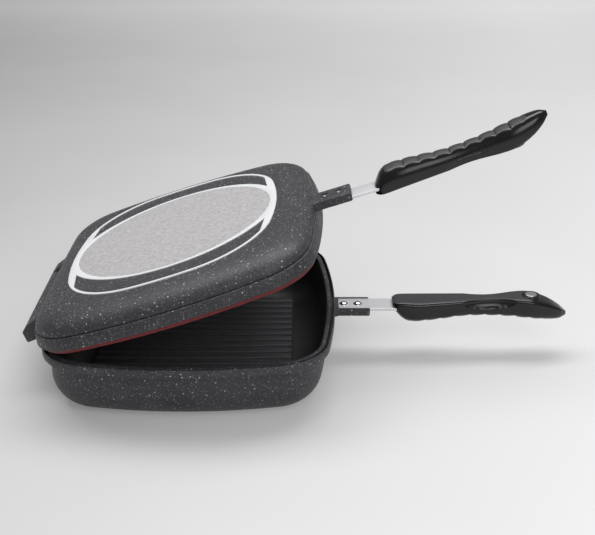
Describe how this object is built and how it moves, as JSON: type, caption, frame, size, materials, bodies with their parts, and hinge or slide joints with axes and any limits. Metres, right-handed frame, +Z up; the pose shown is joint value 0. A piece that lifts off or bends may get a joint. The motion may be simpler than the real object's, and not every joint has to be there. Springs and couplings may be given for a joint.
{
  "type": "double sided flip pan",
  "caption": "Double sided flip pan: deep ribbed half and shallow half on a rear hinge, each with a steel strip handle and a moulded grip; magnets hold the grips together.",
  "frame": {"origin": "middle of the lower half's base disc, on the surface that the pan stands on", "axes": "+Z up, +X from the hinge towards the handles, +Y along the hinge axis"},
  "size_m": [0.5447, 0.3188, 0.2602],
  "materials": {
    "granite_coat": "die-cast aluminium with speckled dark grey non-stick coating",
    "induction_steel": "turned, mottled",
    "strip_steel": "bright polished strip",
    "screw_chrome": "plated",
    "grip_black": "moulded thermoset, glossy sides and matt ridges",
    "seal_red": "silicone",
    "magnet_plate": "nickel plated"
  },
  "bodies": {
    "lower_half": {"lower_pan": "granite_coat", "lower_base_disc": "induction_steel", "lower_tang": "strip_steel", "lower_tang_screws": "screw_chrome", "lower_tang_nuts": "strip_steel", "lower_grip": "grip_black", "lower_grip_screw": "strip_steel", "lower_magnet_cup": "grip_black", "lower_magnet": "magnet_plate", "hinge_pin": "strip_steel", "hinge_washers": "strip_steel"},
    "upper_half": {"upper_pan": "granite_coat", "upper_base_disc": "induction_steel", "rim_seal": "seal_red", "upper_tang": "strip_steel", "upper_tang_screws": "screw_chrome", "upper_tang_nuts": "strip_steel", "upper_grip": "grip_black", "upper_grip_screw": "strip_steel", "upper_magnet_cup": "grip_black", "upper_magnet": "magnet_plate"}
  },
  "joints": [
    {"name": "lid_hinge", "type": "hinge", "parent": "lower_half", "child": "upper_half", "pos_m": [-0.1535, 0, 0.0593], "axis": [0, -1, 0], "range_deg": [-18, 80]}
  ]
}
